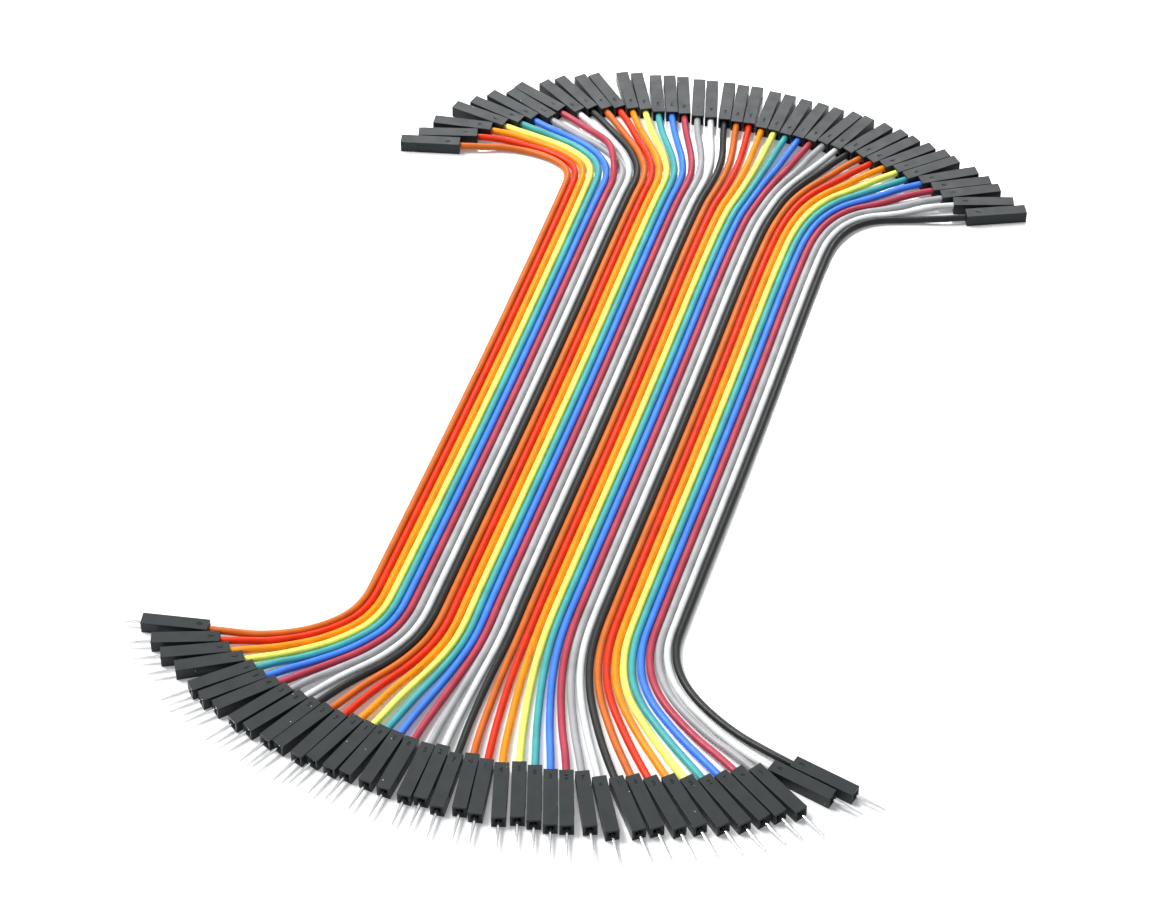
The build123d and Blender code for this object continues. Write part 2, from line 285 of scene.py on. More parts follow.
class Surfaces:
    """The shader node groups and the steps that every finish shares."""

    mottle_detail: float = 3.0
    mottle_low: float = 0.3
    mottle_high: float = 0.7
    grain_detail: float = 4.0
    speck_radius: float = 0.09

    def __init__(self) -> None:
        """Build the shared groups once."""
        self.mottle = self._mottle_group()
        self.grain = self._grain_group()
        self.dust = self._dust_group()

    def _group(self, name: str, inputs: dict[str, float], outputs: list[str]) -> bpy.types.NodeTree:
        """Make an empty shader group with its sockets.

        Args:
            name: The group's name.
            inputs: The default value of each input by its name.
            outputs: The name of each value that the group puts out.

        Returns:
            The node group.
        """
        group = bpy.data.node_groups.new(name, "ShaderNodeTree")
        for label, value in inputs.items():
            socket = group.interface.new_socket(label, in_out="INPUT", socket_type="NodeSocketFloat")
            socket.default_value = value
        for label in outputs:
            group.interface.new_socket(label, in_out="OUTPUT", socket_type="NodeSocketFloat")
        return group

    def _mottle_group(self) -> bpy.types.NodeTree:
        """Build the group of soft blotches that vary a colour and its gloss."""
        group = self._group("soft_mottle", {"Size": 400.0, "Low": 0.9, "High": 1.1}, ["Value"])
        nodes, links = group.nodes, group.links
        source = nodes.new("NodeGroupInput")
        place = nodes.new("ShaderNodeTexCoord")
        noise = nodes.new("ShaderNodeTexNoise")
        noise.inputs["Detail"].default_value = self.mottle_detail
        spread = nodes.new("ShaderNodeMapRange")
        spread.inputs["From Min"].default_value = self.mottle_low
        spread.inputs["From Max"].default_value = self.mottle_high
        sink = nodes.new("NodeGroupOutput")
        links.new(place.outputs["Object"], noise.inputs["Vector"])
        links.new(source.outputs["Size"], noise.inputs["Scale"])
        links.new(noise.outputs["Fac"], spread.inputs["Value"])
        links.new(source.outputs["Low"], spread.inputs["To Min"])
        links.new(source.outputs["High"], spread.inputs["To Max"])
        links.new(spread.outputs["Result"], sink.inputs["Value"])
        return group

    def _grain_group(self) -> bpy.types.NodeTree:
        """Build the group of the fine grain that a moulding or an extrusion leaves."""
        group = self._group("fine_grain", {"Size": 6000.0, "Pits": 0.5}, ["Height"])
        nodes, links = group.nodes, group.links
        source = nodes.new("NodeGroupInput")
        place = nodes.new("ShaderNodeTexCoord")
        noise = nodes.new("ShaderNodeTexNoise")
        noise.inputs["Detail"].default_value = self.grain_detail
        pits = nodes.new("ShaderNodeTexVoronoi")
        weigh = nodes.new("ShaderNodeMath")
        weigh.operation = "MULTIPLY"
        total = nodes.new("ShaderNodeMath")
        total.operation = "ADD"
        sink = nodes.new("NodeGroupOutput")
        links.new(place.outputs["Object"], noise.inputs["Vector"])
        links.new(place.outputs["Object"], pits.inputs["Vector"])
        links.new(source.outputs["Size"], noise.inputs["Scale"])
        links.new(source.outputs["Size"], pits.inputs["Scale"])
        links.new(pits.outputs["Distance"], weigh.inputs[0])
        links.new(source.outputs["Pits"], weigh.inputs[1])
        links.new(noise.outputs["Fac"], total.inputs[0])
        links.new(weigh.outputs["Value"], total.inputs[1])
        links.new(total.outputs["Value"], sink.inputs["Height"])
        return group

    def _dust_group(self) -> bpy.types.NodeTree:
        """Build the group of the few pale specks of dust that lie on a surface."""
        group = self._group("dust_specks", {"Size": 900.0, "Spread": 0.05}, ["Mask"])
        nodes, links = group.nodes, group.links
        source = nodes.new("NodeGroupInput")
        place = nodes.new("ShaderNodeTexCoord")
        cells = nodes.new("ShaderNodeTexVoronoi")
        cells.inputs["Randomness"].default_value = 1.0
        near = nodes.new("ShaderNodeMath")
        near.operation = "LESS_THAN"
        near.inputs[1].default_value = self.speck_radius
        pick = nodes.new("ShaderNodeSeparateColor")
        rare = nodes.new("ShaderNodeMath")
        rare.operation = "LESS_THAN"
        both = nodes.new("ShaderNodeMath")
        both.operation = "MULTIPLY"
        sink = nodes.new("NodeGroupOutput")
        links.new(place.outputs["Object"], cells.inputs["Vector"])
        links.new(source.outputs["Size"], cells.inputs["Scale"])
        links.new(cells.outputs["Distance"], near.inputs[0])
        links.new(cells.outputs["Color"], pick.inputs["Color"])
        links.new(pick.outputs["Red"], rare.inputs[0])
        links.new(source.outputs["Spread"], rare.inputs[1])
        links.new(near.outputs["Value"], both.inputs[0])
        links.new(rare.outputs["Value"], both.inputs[1])
        links.new(both.outputs["Value"], sink.inputs["Mask"])
        return group

    def place(
        self, tree: bpy.types.NodeTree, group: bpy.types.NodeTree, **values: float
    ) -> bpy.types.Node:
        """Put a shared group into a material.

        Args:
            tree: The material's node tree.
            group: The shared group.
            **values: The material's own values of the group's inputs.

        Returns:
            The group's node.
        """
        node = tree.nodes.new("ShaderNodeGroup")
        node.node_tree = group
        for label, value in values.items():
            node.inputs[label].default_value = value
        return node

    def plain(self, name: str, colour: Colour) -> tuple[bpy.types.Material, bpy.types.Node]:
        """Make a material with one Principled shader.

        Args:
            name: The material's name.
            colour: Its base colour in linear light.

        Returns:
            The material and its shader node.
        """
        material = bpy.data.materials.new(name)
        material.use_nodes = True
        shader = material.node_tree.nodes["Principled BSDF"]
        shader.inputs["Base Color"].default_value = (*colour, 1.0)
        material.diffuse_color = (*colour, 1.0)
        return material, shader

    def vary_gloss(
        self, tree: bpy.types.NodeTree, shader: bpy.types.Node, roughness: float, blotches: Blotches
    ) -> None:
        """Let a surface's roughness vary in soft blotches.

        Args:
            tree: The material's node tree.
            shader: The material's shader node.
            roughness: The middle value.
            blotches: How the roughness varies around it.
        """
        low = roughness - blotches.below
        high = roughness + blotches.above
        gloss = self.place(tree, self.mottle, Size=blotches.scale, Low=low, High=high)
        tree.links.new(gloss.outputs["Value"], shader.inputs["Roughness"])

    def vary_tone(
        self, tree: bpy.types.NodeTree, shader: bpy.types.Node, colour: Colour, blotches: Blotches
    ) -> None:
        """Let a surface's colour grow darker and lighter in soft blotches.

        Args:
            tree: The material's node tree.
            shader: The material's shader node.
            colour: The colour to vary.
            blotches: How its brightness varies around 1.
        """
        low = 1 - blotches.below
        high = 1 + blotches.above
        tone = self.place(tree, self.mottle, Size=blotches.scale, Low=low, High=high)
        tint = tree.nodes.new("ShaderNodeMix")
        tint.data_type = "RGBA"
        tint.blend_type = "MULTIPLY"
        tint.inputs["Factor"].default_value = 1.0
        tint.inputs[MIX_FIRST].default_value = (*colour, 1.0)
        tree.links.new(tone.outputs["Value"], tint.inputs[MIX_SECOND])
        tree.links.new(tint.outputs[MIX_RESULT], shader.inputs["Base Color"])

    def roughen(self, tree: bpy.types.NodeTree, shader: bpy.types.Node, grain: Grain) -> None:
        """Raise a fine grain on a surface.

        Args:
            tree: The material's node tree.
            shader: The material's shader node.
            grain: The grain.
        """
        height = self.place(tree, self.grain, Size=grain.scale, Pits=grain.pits)
        bump = tree.nodes.new("ShaderNodeBump")
        bump.inputs["Strength"].default_value = grain.strength
        bump.inputs["Distance"].default_value = grain.height
        tree.links.new(height.outputs["Height"], bump.inputs["Height"])
        tree.links.new(bump.outputs["Normal"], shader.inputs["Normal"])


@dataclass(frozen=True)
class InsulationFinish:
    """Soft extruded insulation: satin, with faint blotches and a fine grain."""

    colour: Insulation
    roughness: float = 0.36
    shine: float = 0.45
    shine_whiteness: float = 0.45
    tone: Blotches = Blotches(260.0, 0.14, 0.1)
    gloss: Blotches = Blotches(900.0, 0.07, 0.08)
    grain: Grain = Grain(3500.0, 0.3, 0.35, 0.000012)

    def material(self, surfaces: Surfaces) -> bpy.types.Material:
        """Build the finish.

        Args:
            surfaces: The shared groups.

        Returns:
            The material.
        """
        base = linear(self.colour.value)
        material, shader = surfaces.plain(f"insulation_{self.colour.name.lower()}", base)
        shader.inputs["Specular IOR Level"].default_value = self.shine
        shine_tint = [self.shine_whiteness + (1 - self.shine_whiteness) * part for part in base]
        shader.inputs["Specular Tint"].default_value = (*shine_tint, 1.0)
        tree = material.node_tree
        surfaces.vary_tone(tree, shader, base, self.tone)
        surfaces.vary_gloss(tree, shader, self.roughness, self.gloss)
        surfaces.roughen(tree, shader, self.grain)
        return material


@dataclass(frozen=True)
class HousingFinish:
    """Black moulded plastic with a satin skin and a fine spark-eroded grain."""

    name: str = "housing_plastic_black"
    colour: Colour = (0.023, 0.028, 0.030)
    roughness: float = 0.33
    shine: float = 0.16
    dust_colour: Colour = (0.55, 0.55, 0.53)
    dust_scale: float = 900.0
    dust_share: float = 0.045
    gloss: Blotches = Blotches(350.0, 0.05, 0.07)
    grain: Grain = Grain(5000.0, 0.6, 0.4, 0.000008)

    def material(self, surfaces: Surfaces) -> bpy.types.Material:
        """Build the finish.

        Args:
            surfaces: The shared groups.

        Returns:
            The material.
        """
        material, shader = surfaces.plain(self.name, self.colour)
        shader.inputs["Specular IOR Level"].default_value = self.shine
        tree = material.node_tree
        dust = surfaces.place(tree, surfaces.dust, Size=self.dust_scale, Spread=self.dust_share)
        tint = tree.nodes.new("ShaderNodeMix")
        tint.data_type = "RGBA"
        tint.inputs[MIX_FIRST].default_value = (*self.colour, 1.0)
        tint.inputs[MIX_SECOND].default_value = (*self.dust_colour, 1.0)
        tree.links.new(dust.outputs["Mask"], tint.inputs["Factor"])
        tree.links.new(tint.outputs[MIX_RESULT], shader.inputs["Base Color"])
        surfaces.vary_gloss(tree, shader, self.roughness, self.gloss)
        surfaces.roughen(tree, shader, self.grain)
        return material


@dataclass(frozen=True)
class ContactFinish:
    """Bright tin plating on stamped metal, with soft blotches in its tone and gloss."""

    colour: Colour = (0.64, 0.65, 0.65)
    roughness: float = 0.14
    tone: Blotches = Blotches(500.0, 0.1, 0.06)
    gloss: Blotches = Blotches(700.0, 0.05, 0.06)

    def material(self, surfaces: Surfaces) -> bpy.types.Material:
        """Build the finish.

        Args:
            surfaces: The shared groups.

        Returns:
            The material.
        """
        material, shader = surfaces.plain("contact_tin", self.colour)
        shader.inputs["Metallic"].default_value = 1.0
        tree = material.node_tree
        surfaces.vary_tone(tree, shader, self.colour, self.tone)
        surfaces.vary_gloss(tree, shader, self.roughness, self.gloss)
        return material


class Workshop:
    """Small mesh tools that work in the drawing's millimetres."""

    flat_normal: float = 0.995

    def block(self, low: Point, high: Point, bevel: float = 0.0, steps: int = 2) -> bmesh.types.BMesh:
        """Make a box, with its edges rounded if a bevel is given.

        Args:
            low: Its lowest corner.
            high: Its highest corner.
            bevel: The width of the rounded edges.
            steps: How many faces each rounded edge has.

        Returns:
            The box as an open mesh editor.
        """
        mesh = bmesh.new()
        bmesh.ops.create_cube(mesh, size=1.0)
        size = Vector(high) - Vector(low)
        middle = (Vector(high) + Vector(low)) / 2
        bmesh.ops.scale(mesh, vec=size, verts=mesh.verts)
        bmesh.ops.translate(mesh, vec=middle, verts=mesh.verts)
        if bevel:
            bmesh.ops.bevel(
                mesh, geom=mesh.edges[:], offset=bevel, segments=steps, profile=0.5,
                affect="EDGES", clamp_overlap=True,
            )
        return mesh

    def frustum(self, x_from: float, side_from: float, x_to: float, side_to: float) -> bmesh.types.BMesh:
        """Make a square block along X whose side changes from one end to the other.

        Args:
            x_from: Where it starts.
            side_from: Its side there.
            x_to: Where it ends.
            side_to: Its side there.

        Returns:
            The block, centred on the axis of a housing.
        """
        mesh = bmesh.new()
        rings = []
        for x, side in ((x_from, side_from), (x_to, side_to)):
            half = side / 2
            corners = ((-half, -half), (half, -half), (half, half), (-half, half))
            rings.append([mesh.verts.new((x, y, AXIS_HEIGHT + z)) for y, z in corners])
        mesh.faces.new(reversed(rings[0]))
        mesh.faces.new(rings[1])
        for i in range(4):
            j = (i + 1) % 4
            mesh.faces.new((rings[0][i], rings[0][j], rings[1][j], rings[1][i]))
        bmesh.ops.recalc_face_normals(mesh, faces=mesh.faces[:])
        return mesh

    def finish(self, editor: bmesh.types.BMesh, name: str) -> bpy.types.Object:
        """Close a mesh editor into an object of the scene."""
        data = bpy.data.meshes.new(name)
        editor.to_mesh(data)
        editor.free()
        thing = bpy.data.objects.new(name, data)
        bpy.context.scene.collection.objects.link(thing)
        return thing

    def cut(self, body: bpy.types.Object, cutters: list[bpy.types.Object]) -> bpy.types.Mesh:
        """Cut shapes out of a body.

        Args:
            body: The object to cut, which goes.
            cutters: The shapes to take out, which go too.

        Returns:
            The mesh that is left.
        """
        for cutter in cutters:
            tool = body.modifiers.new("cut", "BOOLEAN")
            tool.operation = "DIFFERENCE"
            tool.solver = "EXACT"
            tool.object = cutter
        bpy.context.view_layer.update()
        shaped = body.evaluated_get(bpy.context.evaluated_depsgraph_get())
        mesh = bpy.data.meshes.new_from_object(shaped)
        for thing in [body, *cutters]:
            bpy.data.objects.remove(thing)
        return mesh

    def soften(self, editor: bmesh.types.BMesh, limit: float = 38.0) -> None:
        """Shade the rounded faces of a mesh smooth, with its flat faces and sharp edges kept.

        Args:
            editor: The mesh editor, in the drawing's axes.
            limit: The angle in degrees above which an edge stays sharp.
        """
        editor.normal_update()
        for face in editor.faces:
            face.smooth = max(abs(part) for part in face.normal) < self.flat_normal
        for edge in editor.edges:
            sharp = len(edge.link_faces) != 2 or edge.calc_face_angle(0.0) > math.radians(limit)
            edge.smooth = not sharp


class HousingLook(Enum):
    """The materials of a moulded housing, by their slot: the satin plastic, and two darker copies of it
    that paint shade.
    """

    SATIN = 0
    RECESS = 1
    DARK = 2


@dataclass
class Housing:
    """A single-way moulded housing, drawn along X from its wire end, lying on its underside."""

    wall: float = 0.32
    front_wall: float = 2.2
    mouth_side: float = 1.0
    lead_in: float = 0.4
    edge_round: float = 0.06
    latch_start: float = 5.6
    latch_length: float = 3.3
    latch_width: float = 1.3
    latch_slot: float = 0.06
    latch_bulge: float = 0.05
    number_height: float = 1.05
    number_depth: float = 0.12
    number_places: dict[End, float] = field(default_factory=lambda: {End.SOCKET: 2.5, End.PIN: 1.65})
    number_thickening: float = 0.012
    number_slack: float = 0.01
    edge_steps: int = 3
    cut_margin: float = 0.1
    cut_reach: float = 1.0
    tongue_root: float = 0.05
    tongue_round: float = 0.05
    merge_distance: float = 0.0005
    tools: Workshop = field(default_factory=Workshop)

    def shell(self) -> bpy.types.Mesh:
        """Build one housing without its mould number and its latch tongue.

        Returns:
            The mesh of the housing, in millimetres.
        """
        half = TERMINAL_PITCH / 2
        bore = half - self.wall
        cavity_end = HOUSING_LENGTH - self.front_wall
        body = self.tools.block(
            (0, -half, 0), (HOUSING_LENGTH, half, TERMINAL_PITCH), self.edge_round, self.edge_steps
        )
        cutters = [
            self.tools.block(
                (-self.cut_reach, -bore, AXIS_HEIGHT - bore), (cavity_end, bore, AXIS_HEIGHT + bore)
            ),
            self.tools.frustum(
                cavity_end - self.cut_margin, self.mouth_side,
                HOUSING_LENGTH + 2 * self.cut_margin, self.mouth_side,
            ),
            self.tools.frustum(
                HOUSING_LENGTH - self.lead_in, self.mouth_side,
                HOUSING_LENGTH + self.cut_margin, self.mouth_side + 2 * (self.lead_in + self.cut_margin),
            ),
            self.tools.block(
                (self.latch_start, bore - self.cut_margin, AXIS_HEIGHT - self.latch_width / 2),
                (
                    self.latch_start + self.latch_length,
                    half + self.cut_reach, AXIS_HEIGHT + self.latch_width / 2,
                ),
            ),
        ]
        tools = [self.tools.finish(cutter, "cutter") for cutter in cutters]
        return self.tools.cut(self.tools.finish(body, "housing_body"), tools)

    def _add_latch(self, editor: bmesh.types.BMesh) -> None:
        """Add the latch tongue, rooted at the window's wire end and a little proud at its tip."""
        half = TERMINAL_PITCH / 2
        bore = half - self.wall
        width = self.latch_width / 2 - self.latch_slot
        tip = self.latch_start + self.latch_length - self.latch_slot
        tongue = self.tools.block(
            (self.latch_start - self.tongue_root, bore, AXIS_HEIGHT - width),
            (tip, half, AXIS_HEIGHT + width), self.tongue_round, 1,
        )
        for vert in tongue.verts:
            share = max(0.0, (vert.co.x - self.latch_start) / (tip - self.latch_start))
            vert.co.y += self.latch_bulge * share
        scratch = bpy.data.meshes.new("latch_tongue")
        tongue.to_mesh(scratch)
        tongue.free()
        editor.from_mesh(scratch)
        bpy.data.meshes.remove(scratch)

    def numbered(self, shell: bpy.types.Mesh, end: End, digit: int) -> bpy.types.Mesh:
        """Sink a mould cavity number into the top face of a housing.

        Args:
            shell: The mesh of a plain housing, which is left as it is.
            end: The end of the ribbon, which sets the number's place.
            digit: The number, from 1 to 8.

        Returns:
            The mesh of the numbered housing, with the number's recess in its second material, a darker
            copy of the plastic that paints shade into the recess.
        """
        place = self.number_places[end]
        body = bpy.data.objects.new("numbered_housing", shell.copy())
        bpy.context.scene.collection.objects.link(body)
        mesh = self.tools.cut(body, [self._number_cutter(digit, place)])
        editor = bmesh.new()
        editor.from_mesh(mesh)
        self._add_latch(editor)
        self.tools.soften(editor)
        editor.to_mesh(mesh)
        editor.free()
        lowest = TERMINAL_PITCH - self.number_depth - 2 * self.number_slack
        highest = TERMINAL_PITCH - self.number_slack
        for face in mesh.polygons:
            deep = lowest < face.center.z < highest
            along = abs(face.center.x - place) < self.number_height
            across = abs(face.center.y) < self.number_height
            # Painted shade: the recess faces take the darker copy of the plastic.
            look = HousingLook.RECESS if deep and along and across else HousingLook.SATIN
            face.material_index = look.value
        return mesh

    def _number_cutter(self, digit: int, place: float) -> bpy.types.Object:
        """Return the solid figure that is cut out, its foot towards the mating end."""
        words = bpy.data.curves.new("mould_number", "FONT")
        words.body = str(digit)
        words.extrude = self.number_depth
        words.offset = self.number_thickening
        words.resolution_u = 3
        figure = bpy.data.objects.new("mould_number", words)
        bpy.context.scene.collection.objects.link(figure)
        bpy.context.view_layer.update()
        shaped = figure.evaluated_get(bpy.context.evaluated_depsgraph_get())
        mesh = bpy.data.meshes.new_from_object(shaped)
        bpy.data.objects.remove(figure)
        bpy.data.curves.remove(words)
        editor = bmesh.new()
        editor.from_mesh(mesh)
        bpy.data.meshes.remove(mesh)
        bmesh.ops.remove_doubles(editor, verts=editor.verts, dist=self.merge_distance)
        low = [min(vert.co[axis] for vert in editor.verts) for axis in range(2)]
        high = [max(vert.co[axis] for vert in editor.verts) for axis in range(2)]
        middle = Vector(((low[0] + high[0]) / 2, (low[1] + high[1]) / 2, 0))
        scale = self.number_height / (high[1] - low[1])
        for vert in editor.verts:
            flat = (vert.co - middle) * scale
            vert.co = (place - flat.y, flat.x, TERMINAL_PITCH + vert.co.z)
        return self.tools.finish(editor, "mould_number_cutter")


@dataclass
class Contact:
    """A stamped pin contact, drawn on its housing's axis, with its crimp on the wire."""

    pin_side: float = 0.54
    pin_reach: float = 6.0
    pin_root: float = 0.2
    pin_round: float = 0.15
    pin_steps: int = 4
    taper_length: float = 3.6
    tip_side: float = 0.22
    box_side: float = 1.8
    box_start: float = 4.2
    box_end: float = 10.1
    box_round: float = 0.08
    barrel_side: float = 1.1
    barrel_start: float = 1.62
    barrel_round: float = 0.3
    crimp_side: float = 1.78
    crimp_start: float = 0.35
    wing_end: float = 1.5
    wing_drop: float = 0.1
    floor_end: float = 4.4
    floor_inset: float = 0.05
    sheet: float = 0.15
    sheet_round: float = 0.03
    tolerance: float = 0.001
    tools: Workshop = field(default_factory=Workshop)

    def parts(self) -> list[bmesh.types.BMesh]:
        """Build the contact's bent and folded parts.

        Returns:
            Mesh editors in millimetres: crimp wings, crimp floor, barrel, box and pin.
        """
        side = self.crimp_side / 2
        low = AXIS_HEIGHT - side
        top = AXIS_HEIGHT + WIRE_DIAMETER / 2 - self.wing_drop
        inner = side - self.floor_inset
        parts = [
            self._block(self.crimp_start, self.wing_end, -side, -side + self.sheet, low, top),
            self._block(self.crimp_start, self.wing_end, side - self.sheet, side, low, top),
            self._block(self.crimp_start, self.floor_end, -inner, inner, low, low + self.sheet),
            self._square(self.barrel_start, self.box_start, self.barrel_side, self.barrel_round),
            self._square(self.box_start, self.box_end, self.box_side, self.box_round),
            self._pin(HOUSING_LENGTH + self.pin_reach),
        ]
        for part in parts:
            self.tools.soften(part)
        return parts

    def _pin(self, reach: float) -> bmesh.types.BMesh:
        """Build the square pin with rounded edges, which narrows over its last stretch.

        Args:
            reach: How far the pin reaches along the housing's axis.

        Returns:
            The pin as an open mesh editor.
        """
        half = self.pin_side / 2
        pin = self.tools.block(
            (self.box_end - self.pin_root, -half, AXIS_HEIGHT - half),
            (reach, half, AXIS_HEIGHT + half), self.pin_round, self.pin_steps,
        )
        start = reach - self.taper_length
        long_edges = [
            edge for edge in pin.edges
            if abs(edge.verts[0].co.x - edge.verts[1].co.x) > self.taper_length
        ]
        for edge in long_edges:
            first, last = sorted(edge.verts, key=lambda vert: vert.co.x)
            share = (start - first.co.x) / (last.co.x - first.co.x)
            bmesh.utils.edge_split(edge, first, share)
        ring = [vert for vert in pin.verts if abs(vert.co.x - start) < self.tolerance]
        bmesh.ops.connect_verts(pin, verts=ring)
        for vert in pin.verts:
            share = max(0.0, (vert.co.x - start) / self.taper_length)
            width = 1 + (self.tip_side / self.pin_side - 1) * share
            vert.co.y *= width
            vert.co.z = AXIS_HEIGHT + (vert.co.z - AXIS_HEIGHT) * width
        return pin

    def _block(
        self, x0: float, x1: float, y0: float, y1: float, z0: float, z1: float
    ) -> bmesh.types.BMesh:
        """Return a block of the sheet metal with eased edges."""
        return self.tools.block((x0, y0, z0), (x1, y1, z1), self.sheet_round, 1)

    def _square(self, x_from: float, x_to: float, side: float, bevel: float) -> bmesh.types.BMesh:
        """Return a square bar on the housing's axis with rounded edges."""
        half = side / 2
        low = (x_from, -half, AXIS_HEIGHT - half)
        high = (x_to, half, AXIS_HEIGHT + half)
        return self.tools.block(low, high, bevel)


@dataclass
class Terminals:
    """The eighty housings and forty pins, joined by bank, each in its place."""

    lay: Lay
    housing_finishes: dict[HousingLook, bpy.types.Material]
    contact_finish: bpy.types.Material
    # Painted shade: these pin housings take a darker copy of the plastic, for housings that catch less
    # reflected light.
    dark_pin_housings: tuple[int, ...] = (12, 16, 24, 25, 32)
    figures: int = 8
    figure_step: int = 5
    first_figures: dict[End, int] = field(default_factory=lambda: {End.SOCKET: 6, End.PIN: 2})
    housing: Housing = field(default_factory=Housing)

    def build(self) -> None:
        """Build every bank of both ends and dress the hidden contacts."""
        shell = self.housing.shell()
        for end in End:
            moulds = [self.housing.numbered(shell, end, figure + 1) for figure in range(self.figures)]
            for bank in range(1, BANK_COUNT + 1):
                self._housings(end, bank, moulds)
            for mesh in moulds:
                bpy.data.meshes.remove(mesh)
        for bank in range(1, BANK_COUNT + 1):
            self._pins(bank)
            dress(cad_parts[f"socket_contacts_bank_{bank}"], self.contact_finish)
        bpy.data.meshes.remove(shell)

    def _numbers(self, bank: int) -> range:
        """Return the wire numbers of one bank."""
        return range((bank - 1) * BANK_SIZE + 1, bank * BANK_SIZE + 1)

    def _housings(self, end: End, bank: int, moulds: list[bpy.types.Mesh]) -> None:
        """Join ten housings into one piece that stands for their node.

        Args:
            end: The end of the ribbon.
            bank: The bank's number, from 1.
            moulds: The numbered housings, one mesh for each cavity of the mould.
        """
        editor = bmesh.new()
        for number in self._numbers(bank):
            cavity = (number * self.figure_step + self.first_figures[end]) % self.figures
            moved = moulds[cavity].copy()
            moved.transform(self.lay.matrix(end, number))
            # Painted shade: the satin faces of these housings take the darker copy of the plastic.
            if end is End.PIN and number in self.dark_pin_housings:
                for face in moved.polygons:
                    if face.material_index == HousingLook.SATIN.value:
                        face.material_index = HousingLook.DARK.value
            editor.from_mesh(moved)
            bpy.data.meshes.remove(moved)
        piece = Workshop().finish(editor, f"{end.value}_housings_{bank}_moulded")
        piece.data.materials.clear()
        for look in HousingLook:
            piece.data.materials.append(self.housing_finishes[look])
        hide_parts(f"{end.value}_housings_bank_{bank}")
        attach(piece, "root")
        log.info("built %s", piece.name)

    def _pins(self, bank: int) -> None:
        """Join ten pin contacts into one piece that stands for their node."""
        editor = bmesh.new()
        contact = Contact()
        for number in self._numbers(bank):
            matrix = self.lay.matrix(End.PIN, number)
            for part in contact.parts():
                scratch = bpy.data.meshes.new("contact_part")
                part.to_mesh(scratch)
                part.free()
                scratch.transform(matrix)
                editor.from_mesh(scratch)
                bpy.data.meshes.remove(scratch)
        piece = Workshop().finish(editor, f"pin_contacts_{bank}_stamped")
        dress(piece, self.contact_finish)
        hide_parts(f"pin_contacts_bank_{bank}")
        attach(piece, "root")
        log.info("built %s", piece.name)


@dataclass
class Wires:
    """The forty insulated wires as smooth round splines."""

    lay: Lay
    finishes: dict[Insulation, bpy.types.Material]
    real_length: float = 0.183
    radius: float = 0.00071
    round_steps: int = 4
    length_steps: int = 14

    def build(self) -> None:
        """Build every wire and hang it on the root body in place of its imported part."""
        colours = list(Insulation)
        for number in range(1, WIRE_COUNT + 1):
            self._wire(number, colours[(number - 1) % BANK_SIZE])

    def _wire(self, number: int, colour: Insulation) -> None:
        """Build one wire from its socket end to its pin end.

        Args:
            number: The wire's number, from 1.
            colour: The colour of its insulation.
        """
        route = self.lay.route(number)
        label = f"wire_{number:02d}_{colour.name.lower()}"
        curve = bpy.data.curves.new(f"{label}_insulation", "CURVE")
        curve.dimensions = "3D"
        curve.bevel_depth = self.radius
        curve.bevel_resolution = self.round_steps
        curve.resolution_u = self.length_steps
        curve.use_fill_caps = True
        line = curve.splines.new("NURBS")
        line.points.add(len(route) - 1)
        for knot, point in zip(line.points, route):
            knot.co = (*point, 1.0)
        line.order_u = 3
        line.use_endpoint_u = True
        piece = bpy.data.objects.new(curve.name, curve)
        bpy.context.scene.collection.objects.link(piece)
        curve.materials.append(self.finishes[colour])
        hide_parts(label)
        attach(piece, "root")
        log.info("built %s", piece.name)


@dataclass(frozen=True)
class Softbox:
    """One square lamp: its name, its place, the point that it faces, and its light."""

    name: str
    place: Point
    aim: Point
    power: float
    colour: Colour
    size: float = 0.5

    def hang(self) -> None:
        """Hang the lamp in the scene."""
        data = bpy.data.lights.new(self.name, "AREA")
        data.shape = "SQUARE"
        data.size = self.size
        data.energy = self.power
        data.color = self.colour
        lamp = bpy.data.objects.new(self.name, data)
        lamp.location = self.place
        facing = Vector(self.aim) - Vector(self.place)
        lamp.rotation_euler = facing.to_track_quat("-Z", "Y").to_euler()
        bpy.context.scene.collection.objects.link(lamp)


